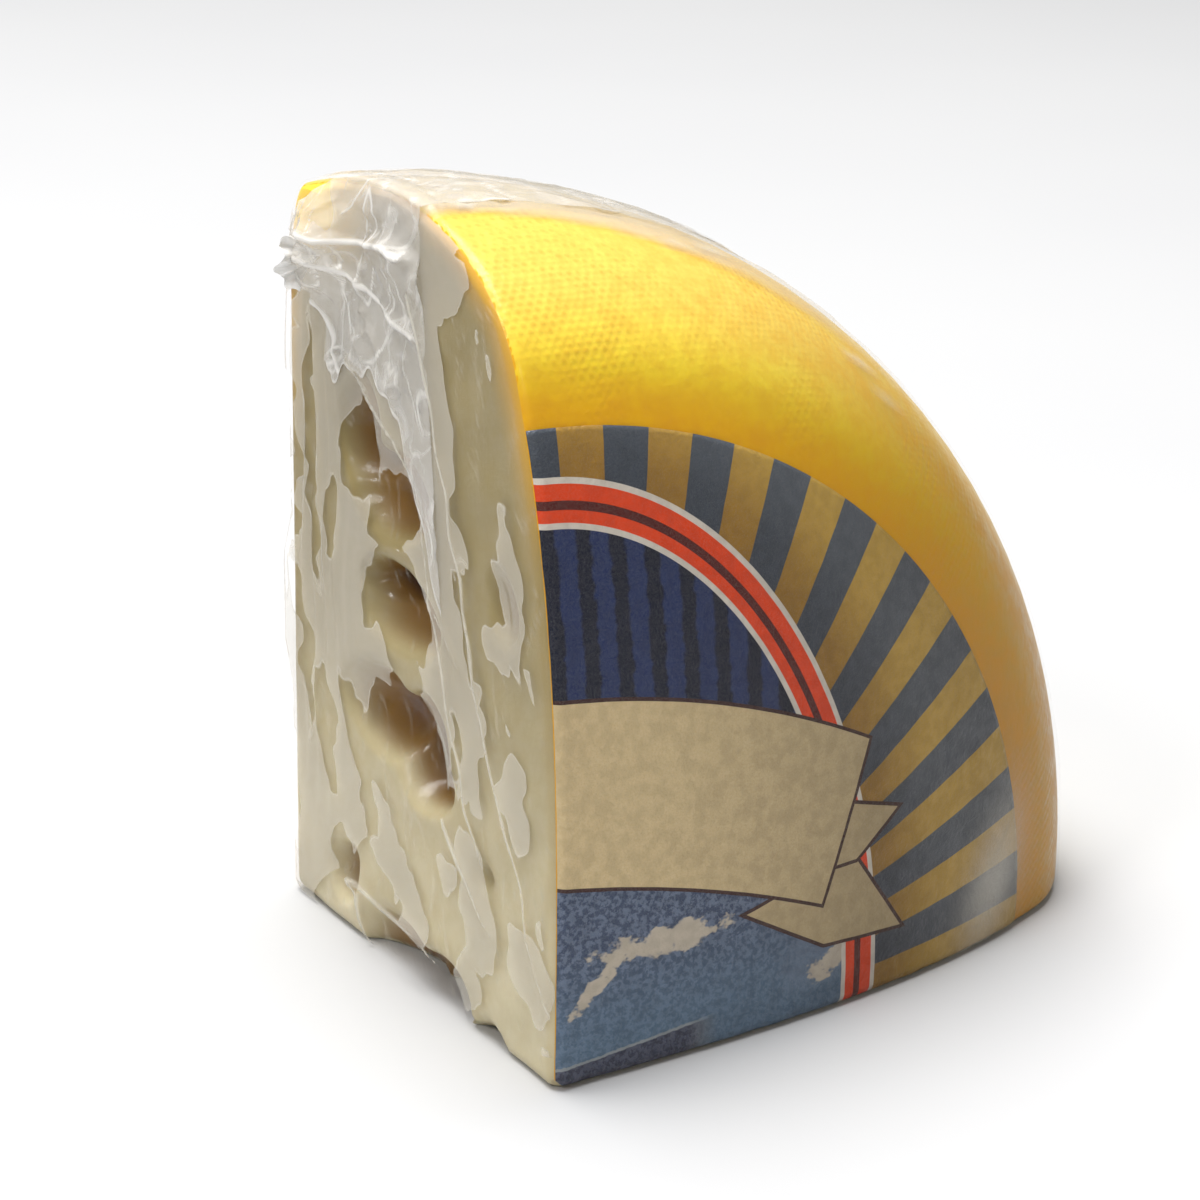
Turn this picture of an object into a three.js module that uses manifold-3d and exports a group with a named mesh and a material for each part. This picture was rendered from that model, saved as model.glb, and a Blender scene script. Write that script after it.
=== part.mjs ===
// Quarter of a holed Dutch cheese wheel, standing on one cut face, with its paper label and cling film.
// Millimetres, +Z up. The wheel's axis lies along Y, the vertical cut face looks to -X and the
// domed, labelled side of the wheel looks to -Y.

import * as THREE from "three";
import { mergeVertices } from "three/addons/utils/BufferGeometryUtils.js";
import Module from "manifold-3d";

// ---- the wheel, measured from its widest circle, which lies in the plane y = 0 ----
const wheelRadius = 180;
const domeHeight = 74; // widest circle to the middle of the domed side
const domeDrop = 33; // how far the dome would fall by the time it reached the rim
const shoulderStart = 152; // radius where the dome turns into the round shoulder
const backHeight = 50; // widest circle to the flat side at the back
const backRadius = 171; // radius to which the bulging rim would narrow at the flat side
const backRoundDepth = 8; // rounding between the flat side and the rim, along the axis
const backRoundWidth = 26; // the same rounding, along the radius

// ---- the two cuts ----
const axisAboveBase = 5.4; // the lower cut passes this far below the wheel's axis
const baseZ = -axisAboveBase;

// ---- label and film ----
const labelRadius = 141;
const paperThickness = 0.4;
const touchGap = 0.3;
const filmGap = 1.1;
const filmThickness = 0.5;
const labelLift = 0.2; // the label ends this far above the table
const filmLift = 0.5; // so does the film

// ---- eyes (round holes) that the vertical cut opens: place and half sizes on that face ----
const faceEyes = [
  { y: 14, z: 122.5, halfY: 9, halfZ: 12.5, depth: 16 },
  { y: 0, z: 110, halfY: 16, halfZ: 10, depth: 12 },
  { y: -4, z: 84.5, halfY: 17, halfZ: 9.5, depth: 14 },
  { y: -8, z: 89, halfY: 9, halfZ: 4.5, depth: 23 },
  { y: 4, z: 58, halfY: 17, halfZ: 11, depth: 11 },
  { y: -15.5, z: 54, halfY: 13, halfZ: 14.5, depth: 18 },
  { y: -50, z: 100, halfY: 6, halfZ: 7.5, depth: 5 },
  { y: -42, z: 36, halfY: 3.6, halfZ: 3.4, depth: 3 },
  { y: 22, z: 10, halfY: 6.5, halfZ: 7, depth: 7 },
  { y: -4, z: -7, halfY: 17, halfZ: 14, depth: 9 },
  { y: -24, z: -9.5, halfY: 15, halfZ: 14.5, depth: 12 },
  { y: -46, z: -11.5, halfY: 9, halfZ: 9.5, depth: 7 },
];

// ---- eyes that the lower cut opens ----
const baseEyes = [
  { x: 36, y: 14, halfX: 9, halfY: 7, depth: 6 },
  { x: 66, y: -28, halfX: 7, halfY: 9, depth: 6.5 },
  { x: 106, y: 20, halfX: 9, halfY: 6, depth: 6 },
  { x: 130, y: -18, halfX: 6, halfY: 8, depth: 5 },
  { x: 150, y: 16, halfX: 4.5, halfY: 4, depth: 4 },
];
const eyeInset = 0.3; // share of an eye's depth by which its widest section lies behind the cut

// ---- loose film at the top of the cut face ----
const crown = { height: 1.4, spread: 0.42, nearY: -44, farY: 46, folds: 3.5, foldHeight: 0.5 };
const drape = { height: 5.5, lowZ: 96, highZ: 178, nearY: -24, farY: 44, folds: 4.5, foldHeight: 1 };
const tuft = { x: -1, y: 31, z: 160, length: 14, rootY: 3.5, rootZ: 4, tipY: 5, tipZ: 7.5, folds: 5 };
const tuftRings = 5;
const tuftSides = 30;
const blisterSteps = 14;
const blisterRoot = 2; // how far a loose patch's closed underside lies inside the wedge

// ---- smoothness ----
const wheelSides = 88;
const filmSides = 66;
const eyeSides = 16;
const eyeRings = 9;
const domeSteps = 9;
const shoulderSteps = 8;
const rimSteps = 4;
const roundSteps = 4;

const wasm = await Module();
wasm.setup();

/** Turns a closed three.js geometry into a solid. */
function toSolid(geometry) {
  const bare = geometry.index ? geometry.toNonIndexed() : geometry.clone();
  bare.deleteAttribute("normal");
  bare.deleteAttribute("uv");
  const merged = mergeVertices(bare, 1e-4);
  const index = merged.index.array;
  const corners = [];
  for (let i = 0; i < index.length; i += 3) {
    const [a, b, c] = [index[i], index[i + 1], index[i + 2]];
    if (a !== b && b !== c && c !== a) corners.push(a, b, c);
  }
  const vertProperties = new Float32Array(merged.attributes.position.array);
  const triVerts = new Uint32Array(corners);
  return new wasm.Manifold(new wasm.Mesh({ numProp: 3, vertProperties, triVerts }));
}

/** Turns a solid back into a three.js geometry. */
function toGeometry(solid) {
  const mesh = solid.getMesh();
  const geometry = new THREE.BufferGeometry();
  geometry.setAttribute("position", new THREE.BufferAttribute(mesh.vertProperties, 3));
  geometry.setIndex(new THREE.BufferAttribute(mesh.triVerts, 1));
  geometry.computeVertexNormals();
  return geometry;
}

/** The dome's height above the widest circle at radius r: a cubic crown, then an elliptic shoulder. */
function domeAt(r) {
  const startHeight = domeHeight - domeDrop * (shoulderStart / wheelRadius) ** 3;
  const startSlope = (3 * domeDrop * shoulderStart ** 2) / wheelRadius ** 3;
  const k = (startSlope * (wheelRadius - shoulderStart)) / startHeight;
  const cosStart = k / (1 - k);
  const halfHeight = startHeight / Math.sqrt(1 - cosStart ** 2);
  const halfWidth = (wheelRadius - shoulderStart) / (1 - cosStart);
  if (r <= shoulderStart) return domeHeight - domeDrop * (r / wheelRadius) ** 3;
  const across = (r - wheelRadius + halfWidth) / halfWidth;
  return halfHeight * Math.sqrt(Math.max(0, 1 - across ** 2));
}

/** Radii from the middle of the dome to the widest circle, closer together on the shoulder. */
function domeRadii() {
  const radii = [];
  for (let i = 0; i < domeSteps; i += 1) radii.push((shoulderStart * i) / domeSteps);
  for (let i = 0; i <= shoulderSteps; i += 1) {
    const turn = (Math.PI / 2) * (i / shoulderSteps);
    radii.push(shoulderStart + (wheelRadius - shoulderStart) * Math.sin(turn));
  }
  return radii;
}

/** Half outline of the wheel, from the middle of the dome to the middle of the flat side. */
function wheelOutline() {
  const points = domeRadii().map((r) => new THREE.Vector2(r, -domeAt(r)));
  points[points.length - 1].set(wheelRadius, 0);
  const roundFrom = backHeight - backRoundDepth;
  for (let i = 1; i <= rimSteps; i += 1) {
    const y = (roundFrom * i) / rimSteps;
    points.push(new THREE.Vector2(wheelRadius - (wheelRadius - backRadius) * (y / backHeight) ** 2, y));
  }
  const corner = points[points.length - 1].x;
  for (let i = 1; i <= roundSteps; i += 1) {
    const turn = (Math.PI / 2) * (i / roundSteps);
    const r = corner - backRoundWidth * (1 - Math.cos(turn));
    points.push(new THREE.Vector2(r, roundFrom + backRoundDepth * Math.sin(turn)));
  }
  points.push(new THREE.Vector2(0, backHeight));
  return points;
}

/** The outline moved outwards by a distance, along its own normals. */
function grownOutline(distance) {
  const outline = wheelOutline();
  const last = outline.length - 1;
  return outline.map((point, i) => {
    const before = outline[Math.max(0, i - 1)];
    const after = outline[Math.min(last, i + 1)];
    const along = new THREE.Vector2().subVectors(after, before).normalize();
    const grown = new THREE.Vector2(point.x + along.y * distance, point.y - along.x * distance);
    if (i === 0) grown.set(0, point.y - distance);
    if (i === last) grown.set(0, point.y + distance);
    return grown;
  });
}

/** A whole wheel about the Y axis. */
function wheel(outline, sides) {
  return toSolid(new THREE.LatheGeometry(outline, sides));
}

/** A box between two corners. */
function block(low, high) {
  const size = new THREE.Vector3().subVectors(high, low);
  const box = new THREE.BoxGeometry(size.x, size.y, size.z);
  box.translate((low.x + high.x) / 2, (low.y + high.y) / 2, (low.z + high.z) / 2);
  return toSolid(box);
}

/** Everything to the right of x and above z: the quarter that the two cuts leave. */
function quarter(x, z) {
  const reach = 2 * wheelRadius;
  return block(new THREE.Vector3(x, -reach, z), new THREE.Vector3(reach, reach, reach));
}

/** A ball stretched to three half sizes. */
function ovoid(x, y, z, halfX, halfY, halfZ) {
  const ball = new THREE.SphereGeometry(1, eyeSides, eyeRings);
  ball.scale(halfX, halfY, halfZ);
  ball.translate(x, y, z);
  return toSolid(ball);
}

/** Half depth and swelling of an eye whose mouth has the stated size. */
function eyeShape(depth) {
  const inset = eyeInset * depth;
  const halfDepth = depth - inset;
  const swell = 1 / Math.sqrt(1 - (inset / halfDepth) ** 2);
  return { inset, halfDepth, swell };
}

function faceEye(eye) {
  const { inset, halfDepth, swell } = eyeShape(eye.depth);
  return ovoid(inset, eye.y, eye.z, halfDepth, eye.halfY * swell, eye.halfZ * swell);
}

function baseEye(eye) {
  const { inset, halfDepth, swell } = eyeShape(eye.depth);
  return ovoid(eye.x, eye.y, baseZ + inset, eye.halfX * swell, eye.halfY * swell, halfDepth);
}

function cheeseSolid() {
  let solid = wheel(wheelOutline(), wheelSides).intersect(quarter(0, baseZ));
  for (const eye of faceEyes) solid = solid.subtract(faceEye(eye));
  for (const eye of baseEyes) solid = solid.subtract(baseEye(eye));
  return solid;
}

/** Paper that follows the dome from its middle out to the label's edge, cut with the wedge. */
function labelSolid() {
  const radii = domeRadii().filter((r) => r < labelRadius);
  radii.push(labelRadius);
  const low = radii.map((r) => new THREE.Vector2(r, -domeAt(r) - touchGap));
  const high = low.map((point) => new THREE.Vector2(point.x, point.y - paperThickness));
  const ring = [...high, ...low.reverse()];
  return wheel(ring, wheelSides).intersect(quarter(0, baseZ + labelLift));
}

/**
 * A loose patch of film: a grid over a surface, raised by height(u, v), closed underneath and at its sides.
 * place(u, v) gives a point of the surface and its outward direction, with u and v from 0 to 1.
 */
function blister(place, height) {
  const n = blisterSteps;
  const corner = (layer, i, j) => (layer * (n + 1) + i) * (n + 1) + j;
  const positions = [];
  for (const layer of [0, 1]) {
    for (let i = 0; i <= n; i += 1) {
      for (let j = 0; j <= n; j += 1) {
        const { point, out } = place(i / n, j / n);
        const lift = layer === 1 ? filmGap + filmThickness + height(i / n, j / n) : -blisterRoot;
        positions.push(...point.addScaledVector(out, lift).toArray());
      }
    }
  }
  const faces = [];
  const quad = (a, b, c, d) => faces.push(a, b, c, a, c, d);
  for (let i = 0; i < n; i += 1) {
    for (let j = 0; j < n; j += 1) {
      quad(corner(1, i, j), corner(1, i + 1, j), corner(1, i + 1, j + 1), corner(1, i, j + 1));
      quad(corner(0, i, j), corner(0, i, j + 1), corner(0, i + 1, j + 1), corner(0, i + 1, j));
    }
    quad(corner(0, i, 0), corner(0, i + 1, 0), corner(1, i + 1, 0), corner(1, i, 0));
    quad(corner(0, i + 1, n), corner(0, i, n), corner(1, i, n), corner(1, i + 1, n));
    quad(corner(0, 0, i + 1), corner(0, 0, i), corner(1, 0, i), corner(1, 0, i + 1));
    quad(corner(0, n, i), corner(0, n, i + 1), corner(1, n, i + 1), corner(1, n, i));
  }
  const geometry = new THREE.BufferGeometry();
  geometry.setAttribute("position", new THREE.Float32BufferAttribute(positions, 3));
  geometry.setIndex(faces);
  return toSolid(geometry);
}

/** The rim's radius at a distance y from the widest circle, on either side of it. */
function rimAt(y) {
  if (y >= 0) return wheelRadius - (wheelRadius - backRadius) * (y / backHeight) ** 2;
  let r = wheelRadius;
  while (domeAt(r) < -y) r -= 0.5;
  return r;
}

/** Film that stands up over the rim next to the cut and runs out along the rim. */
function crownSolid() {
  const place = (u, v) => {
    const overhang = filmGap + filmThickness + drape.height * Math.sin(Math.PI * v) ** 0.5;
    const turn = THREE.MathUtils.lerp(-overhang / wheelRadius, crown.spread, u);
    const y = THREE.MathUtils.lerp(crown.nearY, crown.farY, v);
    const r = rimAt(y);
    const out = new THREE.Vector3(Math.sin(turn), 0, Math.cos(turn));
    const point = out.clone().multiplyScalar(r);
    point.y = y;
    return { point, out };
  };
  const height = (u, v) => {
    const swell = Math.sin(Math.PI * v) ** 0.5 * (1 - u) ** 0.8;
    const fold = Math.cos(2 * Math.PI * crown.folds * v) * Math.cos(7 * u);
    return swell * (crown.height + crown.foldHeight * fold);
  };
  return blister(place, height);
}

/** Film that hangs loose from the crown down the cut face. */
function drapeSolid() {
  const place = (u, v) => {
    const z = THREE.MathUtils.lerp(drape.lowZ, drape.highZ, u);
    const y = THREE.MathUtils.lerp(drape.nearY, drape.farY, v);
    return { point: new THREE.Vector3(0, y, z), out: new THREE.Vector3(-1, 0, 0) };
  };
  const height = (u, v) => {
    const swell = Math.sin(Math.PI * v) ** 0.5 * Math.sin((Math.PI / 2) * u) ** 1.3;
    const fold = Math.cos(2 * Math.PI * drape.folds * (v - 0.3 * u));
    return swell * (drape.height + drape.foldHeight * fold);
  };
  return blister(place, height);
}

/** Gathered end of the film: a ruffled fan that stands off the cut face. */
function tuftSolid() {
  const fan = new THREE.CylinderGeometry(1, 1, 1, tuftSides, tuftRings);
  const position = fan.attributes.position;
  for (let i = 0; i < position.count; i += 1) {
    const along = position.getY(i) + 0.5;
    const across = Math.hypot(position.getX(i), position.getZ(i));
    const turn = Math.atan2(position.getZ(i), position.getX(i));
    const ruffle = across * (1 + 0.25 * along * Math.cos(tuft.folds * turn));
    const y = THREE.MathUtils.lerp(tuft.rootY, tuft.tipY, along) * ruffle * Math.cos(turn);
    const z = THREE.MathUtils.lerp(tuft.rootZ, tuft.tipZ, along) * ruffle * Math.sin(turn);
    position.setXYZ(i, tuft.x - tuft.length * along, tuft.y + y, tuft.z + z);
  }
  return toSolid(fan);
}

/** Film round the wedge, open below, with its loose patches and its gathered end. */
function filmSolid() {
  const far = filmGap + filmThickness;
  const skin = wheel(grownOutline(far), filmSides).intersect(quarter(-far, baseZ + filmLift));
  const room = wheel(grownOutline(filmGap), filmSides).intersect(quarter(-filmGap, baseZ - filmGap));
  return skin.add(crownSolid()).add(drapeSolid()).add(tuftSolid()).subtract(room);
}

function mesh(name, solid, color, roughness) {
  const material = new THREE.MeshStandardMaterial({ color, roughness, metalness: 0 });
  const piece = new THREE.Mesh(toGeometry(solid), material);
  piece.name = name;
  return piece;
}

const wedge = new THREE.Group();
wedge.add(mesh("cheese", cheeseSolid(), 0xeccb62, 0.45));
wedge.add(mesh("label", labelSolid(), 0x7d8799, 0.4));
wedge.add(mesh("film", filmSolid(), 0xe9ebea, 0.15));

// The origin is the middle of the underside of the whole object's box.
const box = new THREE.Box3().setFromObject(wedge);
wedge.position.set(-(box.min.x + box.max.x) / 2, -(box.min.y + box.max.y) / 2, -box.min.z);

const object = new THREE.Group();
object.add(wedge);

export default object;
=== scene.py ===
import math

import bmesh
import bpy
import numpy as np
from mathutils import Matrix, Vector


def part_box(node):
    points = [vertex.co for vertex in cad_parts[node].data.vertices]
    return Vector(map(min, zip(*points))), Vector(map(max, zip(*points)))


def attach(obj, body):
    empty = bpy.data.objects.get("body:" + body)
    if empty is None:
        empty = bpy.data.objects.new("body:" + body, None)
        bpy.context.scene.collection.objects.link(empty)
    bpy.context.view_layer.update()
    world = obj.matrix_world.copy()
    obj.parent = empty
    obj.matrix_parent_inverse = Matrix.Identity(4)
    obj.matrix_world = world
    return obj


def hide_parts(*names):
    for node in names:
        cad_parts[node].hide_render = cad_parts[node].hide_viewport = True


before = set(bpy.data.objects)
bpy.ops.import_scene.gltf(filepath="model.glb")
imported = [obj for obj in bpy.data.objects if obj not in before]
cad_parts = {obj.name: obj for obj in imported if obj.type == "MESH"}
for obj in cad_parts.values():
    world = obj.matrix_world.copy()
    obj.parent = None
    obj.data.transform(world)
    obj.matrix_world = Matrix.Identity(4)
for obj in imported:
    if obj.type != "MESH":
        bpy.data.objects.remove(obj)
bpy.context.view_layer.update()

# ------------------------------
# Sizes, in millimetres, measured as a cheesemaker would: from the wheel's axis and its widest
# circle. The axis runs along Y, the upright cut is x = 0 and the labelled dome looks to -Y.
# ------------------------------
MM = 0.001
WHEEL_RADIUS = 180.0
DOME_HEIGHT = 74.0
DOME_DROP = 33.0
SHOULDER_START = 152.0
BACK_HEIGHT = 50.0
BACK_RADIUS = 171.0
BACK_ROUND_DEPTH = 8.0
BACK_ROUND_WIDTH = 26.0
AXIS_ABOVE_BASE = 5.4
BASE_Z = -AXIS_ABOVE_BASE
LABEL_RADIUS = 141.0
LABEL_LIFT = 0.35
PAPER = 0.2
FILM_LIFT = 0.72
FILM_THICKNESS = 0.06
EDGE_ROUNDING = 3.2
EDGE_PULL = 0.29
EYE_ROUNDNESS = 0.6
EYE_TILT = 0.3

# How finely each mesh is drawn: points from the corner to the shoulder and over it, from cut to
# cut, and from the dome to the back.
CHEESE_GRID = dict(along=150, over=60, turns=50, columns=121)
LABEL_GRID = dict(along=150, turns=130)
FILM_GRID = dict(along=112, over=34, turns=64, columns=131)
HOOD_GRID = dict(across=120, rim=90, face=110)
GATHER_GRID = dict(along=60, around=110)

# Doubles closer than this are merged, in millimetres: less for the scrunched film.
MERGE = 0.02
MERGE_FINE = 0.001

# An attribute value for "no fold near here", in millimetres, and one for "no air under the film".
NO_FOLD = 9.0
NO_AIR = -2.0

# Eyes opened by the upright cut: y, z, half width, half height and depth of each.
FACE_EYES = [
    (14, 122.5, 9, 12.5, 15),
    (0, 110, 16, 10, 11),
    (-4, 84.5, 17, 9.5, 8.5),
    (4, 88.5, 9.5, 4.4, 23),
    (4, 58, 17, 11, 10),
    (-15.5, 54, 13, 14.5, 17),
    (-50, 100, 6, 7.5, 5),
    (-42, 36, 3.6, 3.4, 3),
    (22, 10, 6.5, 7, 7),
    (-4, -7, 17, 14, 9),
    (-24, -9.5, 15, 14.5, 12),
    (-46, -11.5, 9, 9.5, 7),
]

# Eyes opened by the lower cut: x, y, half length, half width and depth of each.
BASE_EYES = [
    (36, 14, 9, 7, 6),
    (66, -28, 7, 9, 6.5),
    (106, 20, 9, 6, 6),
    (130, -18, 6, 8, 5),
    (150, 16, 4.5, 4, 4),
]

cheese_low, cheese_high = (Vector(corner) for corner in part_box("cheese"))
ORIGIN = np.array([
    cheese_low.x,
    cheese_high.y - BACK_HEIGHT * MM,
    cheese_low.z + AXIS_ABOVE_BASE * MM,
])


def in_frame(points):
    """Wheel millimetres to the frame's metres."""
    return np.asarray(points, float) * MM + ORIGIN


# ------------------------------
# The wheel's outline
# ------------------------------
def shoulder():
    """Start height, half height and half width of the elliptic shoulder that ends the dome."""
    start = DOME_HEIGHT - DOME_DROP * (SHOULDER_START / WHEEL_RADIUS) ** 3
    slope = 3 * DOME_DROP * SHOULDER_START ** 2 / WHEEL_RADIUS ** 3
    k = slope * (WHEEL_RADIUS - SHOULDER_START) / start
    cosine = k / (1 - k)
    return start, start / math.sqrt(1 - cosine ** 2), (WHEEL_RADIUS - SHOULDER_START) / (1 - cosine)


def dome_at(r):
    """Height of the domed side above the widest circle, at radius r."""
    _, half_height, half_width = shoulder()
    crown = DOME_HEIGHT - DOME_DROP * (r / WHEEL_RADIUS) ** 3
    across = (r - WHEEL_RADIUS + half_width) / half_width
    round_off = half_height * np.sqrt(np.clip(1 - across ** 2, 0, 1))
    return np.where(r <= SHOULDER_START, crown, round_off)


def back_at(r):
    """Distance of the flat side from the widest circle, at radius r, with the bulging rim."""
    start = BACK_HEIGHT - BACK_ROUND_DEPTH
    corner = WHEEL_RADIUS - (WHEEL_RADIUS - BACK_RADIUS) * (start / BACK_HEIGHT) ** 2
    inner = corner - BACK_ROUND_WIDTH
    bulge = BACK_HEIGHT * np.sqrt(np.clip((WHEEL_RADIUS - r) / (WHEEL_RADIUS - BACK_RADIUS), 0, None))
    across = np.clip((r - inner) / BACK_ROUND_WIDTH, 0, 1)
    rounded = start + BACK_ROUND_DEPTH * np.sqrt(1 - across ** 2)
    return np.where(r >= corner, np.minimum(bulge, start), rounded)


def smooth_noise(points, size, seed, waves=9):
    """Smooth noise from -1 to 1, about `size` millimetres from bump to bump, the same every run."""
    rng = np.random.default_rng(seed)
    directions = rng.normal(size=(waves, 3))
    directions /= np.linalg.norm(directions, axis=1)[:, None]
    pace = 2 * math.pi / (size * rng.uniform(0.7, 1.6, waves))
    phase = rng.uniform(0, 2 * math.pi, waves)
    total = np.zeros(points.shape[:-1])
    for direction, speed, start in zip(directions, pace, phase):
        total += np.sin(points @ direction * speed + start)
    return total / math.sqrt(waves)


# ------------------------------
# Meshes
# ------------------------------
class Builder:
    """Collects grids of points into one mesh, in wheel millimetres, with named values per point."""

    def __init__(self):
        self.points = []
        self.faces = []
        self.slots = []
        self.values = {}
        self.count = 0

    def grid(self, points, slot=0, flip=False, **values):
        rows, columns = points.shape[:2]
        ids = np.arange(rows * columns).reshape(rows, columns) + self.count
        a, b, c, d = ids[:-1, :-1], ids[1:, :-1], ids[1:, 1:], ids[:-1, 1:]
        order = (a, d, c, b) if flip else (a, b, c, d)
        faces = np.stack(order, -1).reshape(-1, 4)
        self.points.append(points.reshape(-1, 3))
        self.faces.append(faces)
        self.slots.append(np.full(len(faces), slot))
        for name in set(self.values) | set(values):
            given = np.broadcast_to(values.get(name, 0.0), (rows, columns)).reshape(-1)
            self.values.setdefault(name, [np.zeros(self.count)]).append(given)
        self.count += rows * columns

    def make(self, name, materials, merge=MERGE):
        """The object: doubles merged, smooth shaded, its place in its mesh."""
        points = in_frame(np.concatenate(self.points))
        faces = np.concatenate(self.faces)
        mesh = bpy.data.meshes.new(name)
        mesh.from_pydata(points.tolist(), [], faces.tolist())
        mesh.polygons.foreach_set("material_index", np.concatenate(self.slots).astype(np.int32))
        for label, parts in self.values.items():
            layer = mesh.attributes.new(label, "FLOAT", "POINT")
            layer.data.foreach_set("value", np.concatenate(parts).astype(np.float32))
        bm = bmesh.new()
        bm.from_mesh(mesh)
        bmesh.ops.remove_doubles(bm, verts=bm.verts, dist=merge * MM)
        bmesh.ops.dissolve_degenerate(bm, edges=bm.edges, dist=1e-7)
        for face in bm.faces:
            face.smooth = True
        bm.to_mesh(mesh)
        bm.free()
        for material in materials:
            mesh.materials.append(material)
        piece = bpy.data.objects.new(name, mesh)
        bpy.context.scene.collection.objects.link(piece)
        return piece


def solidify(piece, thickness):
    """Gives a sheet its thickness, inwards, as a closed shell."""
    modifier = piece.modifiers.new("thickness", "SOLIDIFY")
    modifier.thickness = thickness * MM
    modifier.offset = -1
    modifier.use_even_offset = False
    apply_modifiers(piece)


def apply_modifiers(piece):
    """Turns the evaluated piece into a plain mesh."""
    graph = bpy.context.evaluated_depsgraph_get()
    mesh = bpy.data.meshes.new_from_object(piece.evaluated_get(graph))
    piece.modifiers.clear()
    old = piece.data
    piece.data = mesh
    bpy.data.meshes.remove(old)


def wedge_rows(along, turning):
    """Shares from the wedge's lower corner out to the rim: even at first, closer on the shoulder."""
    _, _, half_width = shoulder()
    centre = 1 - half_width / WHEEL_RADIUS
    first = math.asin((SHOULDER_START / WHEEL_RADIUS - centre) / (1 - centre))
    inner = np.linspace(0, SHOULDER_START / WHEEL_RADIUS, along, endpoint=False)
    outer = centre + (1 - centre) * np.sin(np.linspace(first, math.pi / 2, turning))
    return np.concatenate([inner, outer])


def wedge_turns(steps):
    """Angles from the upright cut to the lower cut, closer together next to both cuts."""
    u = np.linspace(0, 1, steps)
    return (u - 0.9 * np.sin(2 * math.pi * u) / (2 * math.pi)) * math.pi / 2


def spread(share, turn, radius=WHEEL_RADIUS):
    """x and z of a point between the wedge's lower corner and the circle of that radius."""
    lowest = math.asin(-BASE_Z / radius)
    angle = turn * (math.pi / 2 + lowest) / (math.pi / 2)
    return share * radius * np.sin(angle), BASE_Z + share * (radius * np.cos(angle) - BASE_Z)


def eye_pits(across, up, eyes, wobble):
    """Depth of the eyes at each point of a cut face, deeper on the side of low `across`."""
    pit = np.zeros(across.shape)
    for middle_across, middle_up, half_across, half_up, depth in eyes:
        a = (across + wobble[0] - middle_across) / half_across
        b = (up + wobble[1] - middle_up) / half_up
        inside = np.clip(1 - (a * a + b * b), 0, 1)
        pit = np.maximum(pit, depth * inside ** EYE_ROUNDNESS * (1 - EYE_TILT * np.clip(a, -1, 1)))
    return pit


def blur(field, times):
    """Softens a grid of values, leaving its border as it is."""
    for _ in range(times):
        inner = (field[:-2, 1:-1] + field[2:, 1:-1] + field[1:-1, :-2] + field[1:-1, 2:]) / 4
        field[1:-1, 1:-1] = 0.4 * field[1:-1, 1:-1] + 0.6 * inner
    return field


def soften_edge(distance, width=EDGE_ROUNDING):
    """How far an edge's two faces pull in, at a distance from the edge."""
    return EDGE_PULL * width * np.clip(1 - distance / width, 0, 1) ** 2


# ------------------------------
# The wedge's faces
# ------------------------------
def outline_normal(r, height_at):
    """Axial and radial parts of the outward normal of a revolved side, at radius r."""
    inner = np.clip(r - 0.05, 0, WHEEL_RADIUS)
    outer = np.clip(r + 0.05, 0, WHEEL_RADIUS)
    slope = (height_at(inner) - height_at(outer)) / (outer - inner)
    return 1 / np.hypot(1, slope), slope / np.hypot(1, slope)


def soften(points, own, faces):
    """Rounds a face's edges: faces gives each of the three that meet: outward normal, distance."""
    pulls = {name: soften_edge(distance) for name, (normal, distance) in faces.items()}
    moved = points.copy()
    for name, (normal, distance) in faces.items():
        amount = sum(pulls[other] for other in faces if other not in (name, own))
        if name != own:
            amount = (soften_edge(0) + amount) * np.clip(1 - distance / EDGE_ROUNDING, 0, 1)
        moved -= normal * amount[..., None]
    return moved


def side_face(shares, turns, height_at, facing, radius=WHEEL_RADIUS, lift=0.0):
    """One revolved side: facing is -1 for the dome and 1 for the back."""
    share, turn = np.meshgrid(shares, turns, indexing="ij")
    x, z = spread(share, turn, radius)
    r = np.clip(np.hypot(x, z), 1e-6, WHEEL_RADIUS)
    axial, radial = outline_normal(r, height_at)
    normal = np.stack([radial * x / r, facing * axial, radial * z / r], -1)
    points = np.stack([x, facing * height_at(r), z], -1)
    faces = {
        "side": (normal, np.zeros_like(x)),
        "cut": (np.array([-1.0, 0, 0]), x),
        "base": (np.array([0, 0, -1.0]), z - BASE_Z),
    }
    return soften(points, "side", faces) + normal * lift


def section_edges(r):
    """y of the dome and of the back at radius r."""
    return -dome_at(r), back_at(r)


def nearest_side(y, r):
    """Distance from a point of a cut to the nearer revolved side, with that side's normal parts."""
    low, high = section_edges(r)
    dome_axial, dome_radial = outline_normal(r, dome_at)
    back_axial, back_radial = outline_normal(r, back_at)
    to_dome = np.abs(y - low) * dome_axial
    to_back = np.abs(high - y) * back_axial
    nearer = to_dome <= to_back
    axial = np.where(nearer, -dome_axial, back_axial)
    radial = np.where(nearer, dome_radial, back_radial)
    return np.minimum(to_dome, to_back), axial, radial


def cut_face(shares, columns):
    """The upright cut: its points, and the distance of each to the rind."""
    rise, column = np.meshgrid(BASE_Z + shares * (WHEEL_RADIUS - BASE_Z), columns, indexing="ij")
    r = np.abs(rise)
    low, high = section_edges(r)
    y = low + (high - low) * column
    distance, axial, radial = nearest_side(y, r)
    points = np.stack([np.zeros_like(y), y, rise], -1)
    faces = {
        "side": (np.stack([np.zeros_like(y), axial, radial * np.sign(rise)], -1), distance),
        "cut": (np.array([-1.0, 0, 0]), np.zeros_like(y)),
        "base": (np.array([0, 0, -1.0]), rise - BASE_Z),
    }
    return soften(points, "cut", faces), distance


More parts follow.
